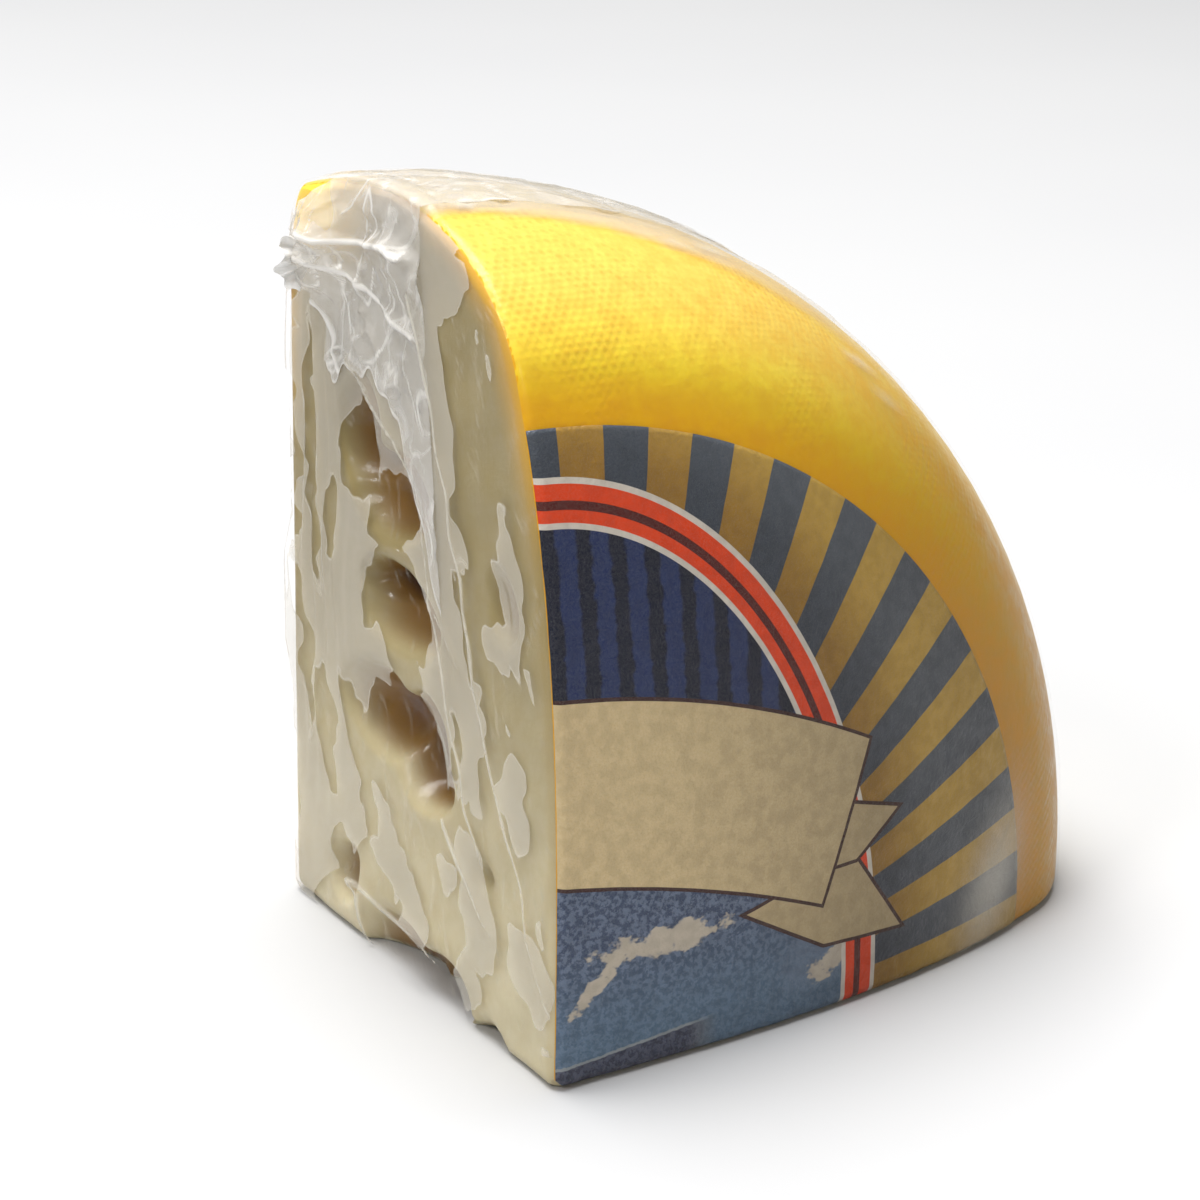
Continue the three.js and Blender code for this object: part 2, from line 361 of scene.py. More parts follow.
def base_face(shares, columns):
    """The lower cut, which the wedge stands on."""
    length = math.sqrt(WHEEL_RADIUS ** 2 - BASE_Z ** 2)
    along, column = np.meshgrid(shares * length, columns, indexing="ij")
    r = np.clip(np.hypot(along, BASE_Z), 0, WHEEL_RADIUS)
    low, high = section_edges(r)
    y = low + (high - low) * column
    distance, axial, radial = nearest_side(y, r)
    points = np.stack([along, y, np.full_like(y, BASE_Z)], -1)
    side = np.stack([radial * along / r, axial, radial * BASE_Z / r], -1)
    faces = {
        "side": (side, distance),
        "cut": (np.array([-1.0, 0, 0]), along),
        "base": (np.array([0, 0, -1.0]), np.zeros_like(y)),
    }
    return soften(points, "base", faces), distance


# ------------------------------
# The cheese
# ------------------------------
def wandering(points, seed):
    """Small shifts that keep the eyes from being true ellipses."""
    return 1.5 * smooth_noise(points, 30, seed), 1.5 * smooth_noise(points, 30, seed + 1)


def face_pits(points):
    """How deep the upright cut's eyes are at each of its points."""
    pit = eye_pits(points[..., 1], points[..., 2], FACE_EYES, wandering(points, 5))
    return blur(pit, 5)


def make_cheese():
    """The wedge of cheese: rind on the wheel's own surfaces, paste and eyes on the two cuts."""
    shares = wedge_rows(CHEESE_GRID["along"], CHEESE_GRID["over"])
    turns = wedge_turns(CHEESE_GRID["turns"])
    columns = np.linspace(0, 1, CHEESE_GRID["columns"])
    builder = Builder()
    for height_at, facing in ((dome_at, -1), (back_at, 1)):
        points = side_face(shares, turns, height_at, facing)
        r = np.hypot(points[..., 0], points[..., 2])
        builder.grid(points, slot=0, flip=facing < 0, reach=r)
    cut, rind_gap = cut_face(shares, columns)
    pit = face_pits(cut)
    cut[..., 0] += pit
    cut[..., 0] += 0.25 * smooth_noise(cut, 17, 40) * np.clip(rind_gap / 6, 0, 1)
    builder.grid(cut, slot=1, rind_gap=rind_gap, pit=pit)
    base, rind_gap = base_face(shares, columns)
    step_in = cut[0, :, 0] - base[0, :, 0]
    base[..., 0] += step_in[None, :] * np.clip(1 - base[..., 0] / 40, 0, 1)
    pit = eye_pits(base[..., 0], base[..., 1], BASE_EYES, wandering(base, 15))
    base[..., 2] += blur(pit, 2)
    base[0] = cut[0]
    builder.grid(base, slot=1, flip=True, rind_gap=rind_gap, pit=pit)
    return builder.make("cheese_wedge", [rind_material(), paste_material()])


# ------------------------------
# The label
# ------------------------------
def make_label():
    """The quarter of the wheel's round paper label, following the dome."""
    shares = np.linspace(0, 1, LABEL_GRID["along"])
    turns = wedge_turns(LABEL_GRID["turns"])
    points = side_face(shares, turns, dome_at, -1, radius=LABEL_RADIUS, lift=LABEL_LIFT)
    points[..., 1] -= 0.12 * (1 + smooth_noise(points, 9, 60)) / 2
    builder = Builder()
    builder.grid(points, flip=True)
    label = builder.make("paper_label", [label_material()])
    solidify(label, PAPER)
    return label


# ------------------------------
# The cling film
# ------------------------------
# Lines on the upright cut, as (y, z): the fold that runs down the face, the edge of the loose
# sheet beside it, and the creases that fan out from the gathered end.
LONG_FOLD = [(-12, 160), (-24, 132), (-34, 107), (-46, 68), (-59, 45), (-73, 10)]
SHEET_EDGE = [(18, 138), (6, 131), (-7, 125), (-15, 112), (-22, 92), (-34, 80)]
SECOND_EDGE = [(-22, 92), (-28, 72), (-38, 48), (-50, 30)]
GATHER_CREASES = [
    [(29, 160), (18, 159), (7, 156), (-2, 154), (-15, 151)],
    [(27, 166), (21, 165), (7, 167), (-5, 169), (-12, 168)],
    [(30, 156), (24, 145), (22, 134)],
]
NOTCH_FOLD = [(16, 11), (0, 9), (-18, 8), (-23, 4)]
NOTCH_DROP = [(16, 11), (13, 4), (10, -5)]
LOWER_FOLD = [(-28, 42), (-34, 34), (-44, 25), (-50, 22)]

# The folds of the stretched film on the cut: line, height and half width of each.
FACE_FOLDS = [
    (LONG_FOLD, 1.5, 1.7),
    (SHEET_EDGE, 1.3, 1.2),
    (SECOND_EDGE, 0.9, 1.3),
    (NOTCH_FOLD, 2.2, 1.8),
    (NOTCH_DROP, 1.6, 1.4),
    (LOWER_FOLD, 1.0, 1.2),
]

# A crease in the film over the dome's shoulder, as (x, z), drawn white as a painted glint.
RIM_STREAK = [(98, 142), (103, 134), (106, 127), (106, 118)]

# Where the film hangs clear of the right-hand part of the cut: its border, as (z, y).
VEIL_BORDER = [(-6, 40), (14, 20), (30, 4), (46, -10), (50, -44), (75, -45), (92, -38), (107, -34),
               (126, -31), (137, -28), (151, -24), (155, -24), (165, -34), (170, -30)]

# Air pockets under the film: y, z, half width, half height and lean in degrees of each.
POCKETS = [
    (-65, 21, 6.5, 12, 22),
    (-42, 28, 8, 17, 14),
    (-58, 57, 5.5, 12, 8),
    (-55, 104, 5.5, 19, 9),
    (-49, 90, 6, 6, 0),
    (-5, 22, 8, 20, 42),
    (-39, 7, 6, 8, 14),
    (-64, 87, 1.8, 3.4, 10),
    (-71, 31, 1.6, 3, 6),
    (-29, 30, 3, 5, 20),
    (-19, 41, 1.8, 3, 0),
    (-58, 76, 1.0, 1.6, 0),
    (-47, 150, 1.6, 4, 0),
    (-43, 157, 1.2, 2.4, 0),
    (-71, 3, 1.4, 2.6, 30),
]

# Where the film clings tight and clear, in the same columns: over the eyes and in streaks down
# the far side.
CLINGS = [
    (39, 173, 16, 8, 0),
    (14, 119, 9, 14, 0),
    (-2, 106, 11, 9, 20),
    (-5, 84, 17, 12, 0),
    (-8, 68, 8, 6, 20),
    (-6, 50, 19, 17, 0),
    (22, 10, 7, 9, 0),
    (36, 112, 2.6, 32, 2),
    (46, 114, 2.8, 38, -1),
    (27, 99, 2.8, 10, 2),
    (40, 62, 2.6, 24, 6),
    (30, 44, 4.5, 15, 10),
    (14, 42, 4, 18, 24),
    (48, 24, 4, 20, 0),
    (-36, 92, 1.6, 12, 14),
    (-33, 60, 2.2, 9, 14),
]


def along_line(y, z, line):
    """Distance from each point to a line of points, and how far down the line that is, 0 to 1."""
    nearest = np.full(y.shape, 1e9)
    share = np.zeros(y.shape)
    for index, (start, end) in enumerate(zip(line[:-1], line[1:])):
        step = np.subtract(end, start)
        t = np.clip(((y - start[0]) * step[0] + (z - start[1]) * step[1]) / (step @ step), 0, 1)
        distance = np.hypot(y - start[0] - t * step[0], z - start[1] - t * step[1])
        closer = distance < nearest
        nearest = np.where(closer, distance, nearest)
        share = np.where(closer, (index + t) / (len(line) - 1), share)
    return nearest, share


def patch_field(y, z, patches):
    """Above 0 inside any of the leaning oval patches, about 1 for each 5 mm."""
    field = np.full(y.shape, -9.0)
    for middle_y, middle_z, half_y, half_z, degrees in patches:
        lean = math.radians(degrees)
        across = (y - middle_y) * math.cos(lean) - (z - middle_z) * math.sin(lean)
        up = (y - middle_y) * math.sin(lean) + (z - middle_z) * math.cos(lean)
        inside = 1 - np.hypot(across / half_y, up / half_z)
        field = np.maximum(field, inside * min(half_y, half_z) / 5)
    return field


def milkiness(points):
    """Above 0 where air lies under the film and it looks milky, below 0 where it clings clear."""
    y = points[..., 1] + 1.6 * smooth_noise(points, 13, 70) + 0.7 * smooth_noise(points, 5, 71)
    z = points[..., 2] + 2.2 * smooth_noise(points, 15, 72) + 0.7 * smooth_noise(points, 5, 73)
    border = np.array(VEIL_BORDER, float)
    veil = (y - np.interp(z, border[:, 0], border[:, 1])) / 5
    field = np.maximum(veil, patch_field(y, z, POCKETS))
    return np.minimum(field, -patch_field(y, z, CLINGS))


def ridge(distance, width):
    """A raised seam of that half width."""
    return np.exp(-(distance / width) ** 2)


def face_relief(points):
    """Height of the film's folds over the upright cut, and the distance to the nearest fold."""
    y, z = points[..., 1], points[..., 2]
    wobble = 0.8 * smooth_noise(points, 14, 80)
    relief = np.zeros(y.shape)
    fold_gap = np.full(y.shape, NO_FOLD)
    for line, height, width in FACE_FOLDS:
        distance, share = along_line(y + wobble, z, line)
        fade = np.clip(1.4 - share, 0.15, 1)
        relief += height * fade * ridge(distance, width)
        fold_gap = np.minimum(fold_gap, distance / fade)
    pleat_zone = ridge(y - 36, 13) * ridge(z - 100, 55)
    pleats = np.sin((y + 1.5 * smooth_noise(points, 40, 81)) * 2 * math.pi / 5.4)
    relief += 0.75 * pleat_zone * pleats
    relief += 0.22 * smooth_noise(points * np.array([1, 1.6, 0.5]), 22, 82)
    return relief, fold_gap


def edge_bulge(points):
    """How far the film stands off the far upright edge, in uneven waves."""
    waves = np.clip(0.3 + smooth_noise(points * np.array([0, 0, 1.0]), 34, 97), 0, 1.3)
    low_enough = np.clip((158 - points[..., 2]) / 12, 0, 1)
    return 1.5 * waves * low_enough * ridge(points[..., 0], 7) * ridge(points[..., 1] - 50, 10)


def make_film():
    """The cling film on the dome, the back and the upright cut."""
    shares = wedge_rows(FILM_GRID["along"], FILM_GRID["over"])
    turns = wedge_turns(FILM_GRID["turns"])
    columns = np.linspace(0, 1, FILM_GRID["columns"])
    builder = Builder()
    for height_at, facing in ((dome_at, -1), (back_at, 1)):
        points = side_face(shares, turns, height_at, facing)
        x, z = points[..., 0], points[..., 2]
        r = np.hypot(x, z)
        turn = np.degrees(np.arctan2(x, z))
        behind_edge = np.clip((points[..., 1] + 18 + 0.45 * turn) / 3, 0, 1) * ridge(r - 182, 12)
        off_corner = np.clip((x + 0.9 * (35 - points[..., 1])) / 8, 0, 1)
        loose = behind_edge * off_corner * ridge(np.maximum(turn - 14, 0), 26)
        relief = 0.16 * smooth_noise(points, 26, 90) + edge_bulge(points)
        relief += loose * 1.1 * crumple(points, 12, 92)
        glare = ridge(x - 127 - 0.3 * z, 9) * ridge(z - 11, 17)
        streak, share = along_line(x, z, RIM_STREAK)
        glare = np.maximum(glare, ridge(streak, 0.9) * (1 - share)) * (facing < 0)
        builder.grid(
            points,
            flip=facing < 0,
            lift=FILM_LIFT + relief * np.clip(z / 9, 0, 1),
            loose=loose,
            milk=NO_AIR,
            fold_gap=NO_FOLD,
            glare=glare,
            creases=loose * crease_lines(points, 9, 95),
        )
    cut, rind_gap = cut_face(shares, columns)
    relief, fold_gap = face_relief(cut)
    sag = np.minimum(0.28 * face_pits(cut), 2.6)
    inside = np.clip(rind_gap / 5, 0, 1)
    lift = FILM_LIFT + (relief + 0.3 - sag) * inside + edge_bulge(cut)
    streaks = 0.2 * crease_lines(cut * np.array([1, 2.0, 0.5]), 15, 98)
    builder.grid(cut, lift=lift, milk=milkiness(cut), fold_gap=fold_gap, creases=streaks)
    film = builder.make("cling_film", [film_material()])
    raise_along_normals(film)
    solidify(film, FILM_THICKNESS)
    return film


def raise_along_normals(piece):
    """Moves each point out along its normal by its own lift."""
    mesh = piece.data
    count = len(mesh.vertices)
    points = np.empty(count * 3)
    mesh.vertices.foreach_get("co", points)
    normals = np.array([corner.vector for corner in mesh.vertex_normals])
    lift = np.empty(count)
    mesh.attributes["lift"].data.foreach_get("value", lift)
    points = points.reshape(-1, 3) + normals * lift[:, None] * MM
    mesh.vertices.foreach_set("co", points.reshape(-1))
    mesh.update()


# ------------------------------
# The loose hood of film over the upper edge, and its gathered end
# ------------------------------
# From the gathered end to the near shoulder: where the hood crosses the wheel's edge (y), and
# where it ends on the upright cut (y, z).
HOOD_CROSSING = [22, 18, 14, 9, 4, -2, -9, -15]
HOOD_BORDER = [(29, 134), (25, 132), (17, 136), (8, 137), (-2, 134), (-9, 124), (-16, 110), (-26, 90)]
HOOD_DRIFT = -9
GATHER = np.array([0.0, 30.0, 160.0])


def crease_lines(points, size, seed, width=0.06):
    """Thin broken lines, 1 on the line and 0 away from it, as the sharp creases of scrunched film."""
    sharp = ridge(smooth_noise(points, size, seed), width)
    long = ridge(smooth_noise(points, size * 2.2, seed + 1), width * 0.5)
    broken = np.clip(0.5 + smooth_noise(points, size * 1.3, seed + 2), 0, 1)
    return np.clip(sharp + long, 0, 1) * broken


def rim_radius(y):
    """The wheel's radius at a distance y along its axis."""
    r = np.linspace(WHEEL_RADIUS, 120, 1500)
    return np.where(y < 0, np.interp(-y, dome_at(r), r), np.interp(y, back_at(r), r))


def crumple(points, size, seed):
    """Sharp-ridged noise, as in film that has been scrunched, from 0 to 1."""
    first = 1 - np.abs(smooth_noise(points, size, seed))
    second = 1 - np.abs(smooth_noise(points, size * 0.5, seed + 1))
    return np.clip(0.65 * first + 0.35 * second, 0, 1)


def make_hood():
    """Loose film that stands off the rim, crosses the edge and hangs down the upright cut."""
    across = np.linspace(0, 1, HOOD_GRID["across"])
    rim_part = np.linspace(1, 0, HOOD_GRID["rim"])
    face_part = np.linspace(0, 1, HOOD_GRID["face"])[1:]
    steps = np.linspace(0, 1, len(HOOD_CROSSING))
    edge_y = np.interp(across, steps, HOOD_CROSSING)
    end_y = np.interp(across, steps, [y for y, z in HOOD_BORDER])
    end_z = np.interp(across, steps, [z for y, z in HOOD_BORDER])
    end_z = end_z + 1.2 * np.sin(across * 31) + 0.8 * np.sin(across * 57 + 1)
    edge_r = rim_radius(edge_y)
    dome_part, back_part = (outline_normal(edge_r, height_at)[1] for height_at in (dome_at, back_at))
    outward = np.where(edge_y < 0, dome_part, back_part)
    tilt = np.sign(edge_y) * np.sqrt(1 - np.clip(outward, 0, 1) ** 2)
    rows, normals = [], []
    reach = np.radians(24 + 9 * np.sin(math.pi * across))
    for share in rim_part:
        angle = share * reach
        y = edge_y - HOOD_DRIFT * math.sin(share * math.pi / 2) * (1 - across) ** 2
        r = rim_radius(y)
        rows.append(np.stack([r * np.sin(angle), y, r * np.cos(angle)], -1))
        normals.append(np.stack([outward * np.sin(angle), tilt, outward * np.cos(angle)], -1))
    corner = np.stack([np.full_like(edge_y, -0.6), tilt, outward], -1)
    normals[-1] = corner / np.linalg.norm(corner, axis=1)[:, None]
    for share in face_part:
        y = edge_y + (end_y - edge_y) * share
        y = y + 17 * (1 - across) ** 2 * math.sin(math.pi * min(share / 0.6, 1))
        z = edge_r + (end_z - edge_r) * share
        rows.append(np.stack([np.zeros_like(y), y, z], -1))
        blend = min(share / 0.12, 1)
        normal = np.array([-1.0, 0, 0]) * blend + (1 - blend) * normals[len(rim_part) - 1]
        normals.append(normal / np.linalg.norm(normal, axis=1)[:, None])
    points, normal = np.array(rows), np.array(normals)
    on_face = np.concatenate([np.zeros(len(rim_part)), face_part])[:, None]
    on_rim = np.concatenate([rim_part, np.zeros(len(face_part))])[:, None]
    middle = np.sin(math.pi * np.clip(across, 0, 1))[None, :] ** 0.6
    from_gather = np.hypot(points[..., 1] - GATHER[1], points[..., 2] - GATHER[2])
    spokes = np.arctan2(points[..., 2] - GATHER[2], points[..., 1] - GATHER[1] - 4)
    pleats = np.sin(spokes * 15 + smooth_noise(points, 30, 100)) * np.clip(from_gather / 25, 0, 1)
    over_face = np.clip(on_face * 6, 0, 1)
    lift = 1.5 + 2.2 * middle * over_face * (1 - np.clip(on_face / 0.6, 0, 1))
    lift = lift + 7.0 * ridge(from_gather, 11) * over_face
    lift = lift + 1.1 * pleats * np.clip(1 - on_face, 0, 1) * over_face
    rough = crumple(points, 38, 101)
    lift = lift + 4.4 * (rough - 0.6) * (0.1 + 0.9 * over_face * middle)
    lift = lift + 1.2 * (crumple(points, 13, 104) - 0.6) * (0.4 + 0.6 * over_face)
    crease_gap = np.full(lift.shape, NO_FOLD)
    for line in GATHER_CREASES:
        distance, _ = along_line(points[..., 1], points[..., 2], line)
        distance = np.where(on_face > 0, distance, NO_FOLD)
        lift = lift + 1.9 * ridge(distance, 1.6)
        crease_gap = np.minimum(crease_gap, distance)
    border = np.minimum(1 - on_face, 1 - on_rim)
    lift = 1.25 + (lift - 1.25) * np.clip(border / 0.12, 0.15, 1)
    lift = np.maximum(lift, 1.2)
    builder = Builder()
    rim_fade = np.clip((1 - on_rim) / 0.45, 0, 1)
    drawn = points * np.array([1, 1.3, 0.7])
    creases = np.maximum(crease_lines(drawn, 16, 106), 0.4 * crease_lines(drawn, 8, 109, 0.09))
    builder.grid(
        points + normal * lift[..., None],
        ridges=rough,
        edge_gap=1 - on_face,
        rim_fade=rim_fade,
        fold_gap=crease_gap,
        creases=creases,
    )
    hood = builder.make("film_hood", [hood_material()], merge=MERGE_FINE)
    solidify(hood, FILM_THICKNESS)
    return hood


def make_gather():
    """The bunched end of the film: a ruffled fan that stands out from the cut."""
    along = np.linspace(0, 1, GATHER_GRID["along"])[:, None]
    around = np.linspace(0, 1, GATHER_GRID["around"])[None, :]
    angle = np.radians(-66 + 118 * around)
    reach = 12.2 + 0.7 * np.sin(around * 17) + 0.3 * np.sin(around * 41 + 2) - 1.5 * np.abs(around - 0.5)
    out = along * reach
    ruffle = (0.3 + 1.0 * along) * np.sin(around * 9 + 1.2 * np.sin(along * 4))
    ruffle = ruffle + 0.45 * along * np.sin(around * 21 + 1 + along * 3)
    x = -1.5 - out * np.cos(angle) ** 0.6 * 0.95
    z = GATHER[2] - 0.5 + out * np.sin(angle) * 0.66 + 0.2 * along * np.sin(around * 29)
    y = GATHER[1] + ruffle - 1.5 * along
    points = np.stack(np.broadcast_arrays(x, y, z), -1)
    builder = Builder()
    builder.grid(points, ridges=0.5 + 0.5 * np.sin(around * 33), edge_gap=1 - along)
    gather = builder.make("film_gather", [gather_material()], merge=MERGE_FINE)
    solidify(gather, FILM_THICKNESS)
    return gather


# ------------------------------
# Shader helpers
# ------------------------------
def linear(red, green, blue):
    """A colour given in the 0 to 255 of a paint chart, as scene-linear with alpha 1."""
    def decode(value):
        value /= 255
        return value / 12.92 if value <= 0.04045 else ((value + 0.055) / 1.055) ** 2.4
    return decode(red), decode(green), decode(blue), 1.0


class Nodes:
    """A short way to write node trees: each call adds a node and returns its output."""

    def __init__(self, tree):
        self.tree = tree

    def add(self, kind, inputs=(), output=0, **settings):
        node = self.tree.nodes.new(kind)
        for name, value in settings.items():
            setattr(node, name, value)
        for name, value in dict(inputs).items():
            self.set(node, name, value)
        return node.outputs[output]

    def set(self, node, name, value):
        if isinstance(value, bpy.types.NodeSocket):
            self.tree.links.new(value, node.inputs[name])
        else:
            node.inputs[name].default_value = value

    def math(self, operation, a, b=0.0, c=0.0, clamp=False):
        return self.add("ShaderNodeMath", {0: a, 1: b, 2: c}, operation=operation, use_clamp=clamp)

    def times(self, a, b):
        return self.math("MULTIPLY", a, b)

    def over(self, a, b):
        return self.math("DIVIDE", a, b)

    def plus(self, a, b):
        return self.math("ADD", a, b)

    def minus(self, a, b):
        return self.math("SUBTRACT", a, b)

    def times_plus(self, a, b, c):
        return self.math("MULTIPLY_ADD", a, b, c)

    def most(self, a, b):
        return self.math("MAXIMUM", a, b)

    def least(self, a, b):
        return self.math("MINIMUM", a, b)

    def above(self, a, b):
        return self.math("GREATER_THAN", a, b)

    def below(self, a, b):
        return self.math("LESS_THAN", a, b)

    def ellipse(self, a, half_a, b, half_b):
        """1 on the ellipse of those half sizes, 0 at its middle."""
        first, second = self.over(a, half_a), self.over(b, half_b)
        return self.plus(self.math("POWER", first, 2.0), self.math("POWER", second, 2.0))

    def ramp(self, value, low, high, to_low=0.0, to_high=1.0):
        """A smooth step from to_low to to_high."""
        inputs = {"Value": value, "From Min": low, "From Max": high, "To Min": to_low, "To Max": to_high}
        return self.add("ShaderNodeMapRange", inputs, interpolation_type="SMOOTHSTEP")

    def mix(self, share, a, b):
        inputs = {"Factor": share, 6: a, 7: b}
        return self.add("ShaderNodeMix", inputs, output=2, data_type="RGBA", clamp_factor=True)

    def noise(self, vector, scale, detail=2.0, rough=0.5, distortion=0.0):
        inputs = {"Vector": vector, "Scale": scale, "Detail": detail, "Roughness": rough,
                  "Distortion": distortion}
        return self.add("ShaderNodeTexNoise", inputs)

    def value(self, name):
        """A number that the mesh keeps for each of its points."""
        return self.add("ShaderNodeAttribute", output=2, attribute_name=name)

    def place(self, stretch=(1, 1, 1), move=(0, 0, 0), source=None):
        """Object coordinates, stretched and then moved."""
        if source is None:
            source = self.add("ShaderNodeTexCoord", output=3)
        return self.add("ShaderNodeMapping", {"Vector": source, "Scale": stretch, "Location": move})

    def axes(self, vector):
        """The vector's three parts, by the names X, Y and Z."""
        node = self.tree.nodes.new("ShaderNodeSeparateXYZ")
        self.set(node, "Vector", vector)
        return node.outputs

    def group(self, tree, **inputs):
        node = self.tree.nodes.new("ShaderNodeGroup")
        node.node_tree = tree
        for name, value in inputs.items():
            self.set(node, name, value)
        return node.outputs

    def bump(self, height, strength, distance):
        inputs = {"Height": height, "Strength": strength, "Distance": distance}
        return self.add("ShaderNodeBump", inputs)


def node_group(name, inputs, outputs):
    """An empty shader group with named inputs (name, default) and named numbers as outputs."""
    tree = bpy.data.node_groups.new(name, "ShaderNodeTree")
    for label, default in inputs:
        kind = "NodeSocketVector" if isinstance(default, tuple) else "NodeSocketFloat"
        socket = tree.interface.new_socket(label, in_out="INPUT", socket_type=kind)
        socket.default_value = default
    for label in outputs:
        tree.interface.new_socket(label, in_out="OUTPUT", socket_type="NodeSocketFloat")
    entry = tree.nodes.new("NodeGroupInput").outputs
    leave = tree.nodes.new("NodeGroupOutput").inputs
    return tree, entry, leave


def material(name):
    """A new material: its node helper and its Principled shader."""
    made = bpy.data.materials.new(name)
    made.use_nodes = True
    shader = next(node for node in made.node_tree.nodes if node.type == "BSDF_PRINCIPLED")
    return made, Nodes(made.node_tree), shader


def mottle_group():
    """Soft blotches at two sizes, from 0 to 1: uneven paste, rind and ink."""
    inputs = [("Vector", (0.0, 0.0, 0.0)), ("Size", 0.02), ("Sharpness", 0.5)]
    tree, entry, leave = node_group("mottle", inputs, ["Blotches", "Specks"])
    n = Nodes(tree)
    scale = n.over(1.0, entry["Size"])
    broad = n.noise(entry["Vector"], scale, 2.0, 0.55)
    fine = n.noise(entry["Vector"], n.times(scale, 7.0), 3.0, 0.65)
    half = n.times(n.minus(1.0, entry["Sharpness"]), 0.25)
    low, high = n.minus(0.5, half), n.plus(0.5, half)
    tree.links.new(n.ramp(broad, low, high), leave["Blotches"])
    tree.links.new(n.ramp(fine, low, high), leave["Specks"])
    return tree


def weave_group():
    """Height of the cheesecloth print in the rind: two crossing sets of threads, unevenly pressed."""
    inputs = [("Vector", (0.0, 0.0, 0.0)), ("Threads", 900.0)]
    tree, entry, leave = node_group("cloth print", inputs, ["Height", "Pressed"])
    n = Nodes(tree)
    parts = n.axes(entry["Vector"])
    waves = [n.math("SINE", n.times(parts[axis], entry["Threads"])) for axis in "XYZ"]
    threads = n.times(n.plus(waves[0], waves[1]), waves[2])
    pressed = n.ramp(n.noise(entry["Vector"], 22.0, 1.0), 0.42, 0.68)
    tree.links.new(threads, leave["Height"])
    tree.links.new(pressed, leave["Pressed"])
    return tree


MOTTLE = mottle_group()
WEAVE = weave_group()


def paste_material():
    """Ivory paste, yellower next to the rind, glossy deep in the eyes, with painted shade turning the
    eyes brown, then near black, the deeper they go.
    """
    made, n, shader = material("cheese paste")
    where = n.place()
    blotches, specks = n.group(MOTTLE, Vector=where, Size=0.035, Sharpness=0.2)
    color = n.mix(n.times(blotches, 0.5), linear(204, 193, 160), linear(192, 178, 138))
    color = n.mix(n.times(specks, 0.16), color, linear(172, 152, 104))
    parts = n.axes(where)
    rise, across = parts["Z"], parts["Y"]
    color = n.mix(n.ramp(rise, 0.0, 0.12, 0.0, 0.9), color, linear(136, 119, 70))
    glow = n.ramp(rise, 0.02, 0.15, 4.0, 11.0)
    near = n.math("SUBTRACT", 1.0, n.over(n.value("rind_gap"), glow), clamp=True)
    near = n.math("POWER", near, 1.6)
    near = n.times(near, n.ramp(rise, 0.11, 0.155, 0.08, 0.85))
    color = n.mix(near, color, linear(214, 160, 40))
    corner = n.times(n.ramp(rise, 0.160, 0.172), n.ramp(across, 0.010, 0.036))
    color = n.mix(corner, color, linear(250, 206, 60))
    # Painted shade in the eyes: brown, then near black, the deeper the pit.
    color = n.mix(n.ramp(n.value("pit"), 0.5, 7.5), color, linear(126, 88, 20))
    color = n.mix(n.ramp(n.value("pit"), 6.5, 12.0), color, linear(76, 34, 2))
    n.set(shader, "Base Color", color)
    n.set(shader, "Roughness", n.ramp(specks, 0.0, 1.0, 0.34, 0.5))
    n.set(shader, "Normal", n.bump(n.noise(where, 900.0, 2.0), 0.12, 0.0004))
    n.set(shader, "Specular IOR Level", 0.3)
    n.set(shader, "Subsurface Weight", 0.15)
    n.set(shader, "Subsurface Radius", (0.010, 0.006, 0.003))
    n.set(shader, "Subsurface Scale", 0.6)
    n.set(shader, "Coat Weight", n.ramp(n.value("pit"), 1.0, 5.0, 0.12, 0.35))
    n.set(shader, "Coat Roughness", 0.12)
    return made


def rind_material():
    """Yellow waxy rind, paler over the rim as painted light, amber towards the label and darker on its
    far side as painted shade.
    """
    made, n, shader = material("cheese rind")
    where = n.place()
    blotches, specks = n.group(MOTTLE, Vector=where, Size=0.03, Sharpness=0.1)
    height, pressed = n.group(WEAVE, Vector=where, Threads=2600.0)
    color = n.mix(blotches, linear(252, 234, 56), linear(248, 220, 42))
    # Painted light: paler towards the rim. Painted shade: amber towards the label.
    color = n.mix(n.ramp(n.value("reach"), 148.0, 170.0), color, linear(234, 202, 88))
    color = n.mix(n.ramp(n.value("reach"), 162.0, 142.0), color, linear(226, 168, 8))
    # Painted shade: darker amber on the far side of the rind.
    far_side = n.ramp(n.axes(where)["X"], -0.05, 0.07)
    far_side_shade = n.times(far_side, n.ramp(n.value("reach"), 179.0, 163.0))
    color = n.mix(n.times(far_side_shade, 0.85), color, linear(162, 112, 2))
    color = n.mix(n.times(specks, 0.3), color, linear(206, 134, 14))
    prints = n.times(n.ramp(height, 0.2, 1.4), n.times(pressed, 0.22))
    color = n.mix(prints, color, linear(196, 126, 16))
    n.set(shader, "Base Color", color)
    n.set(shader, "Roughness", n.ramp(specks, 0.0, 1.0, 0.3, 0.45))
    cloth = n.times(pressed, 0.3)
    relief = n.times_plus(height, cloth, n.noise(where, 500.0, 2.0))
    n.set(shader, "Normal", n.bump(relief, 0.25, 0.0005))
    n.set(shader, "Specular IOR Level", 0.2)
    n.set(shader, "Coat Weight", 0.15)
    n.set(shader, "Coat Roughness", 0.12)
    return made


def polygon_field(n, x, z, corners):
    """Distance inside a convex polygon whose corners run clockwise: below 0 outside it."""
    field = None
    for (ax, az), (bx, bz) in zip(corners, corners[1:] + corners[:1]):
        length = math.hypot(bx - ax, bz - az)
        nx, nz = (bz - az) / length, (ax - bx) / length
        side = n.times_plus(x, nx, n.times_plus(z, nz, -(ax * nx + az * nz)))
        field = side if field is None else n.least(field, side)
    return field


def curved_edge(n, x, height, slope, bend):
    """Height of a drooping ribbon edge at x."""
    return n.minus(height, n.times(x, n.times_plus(x, bend, slope)))


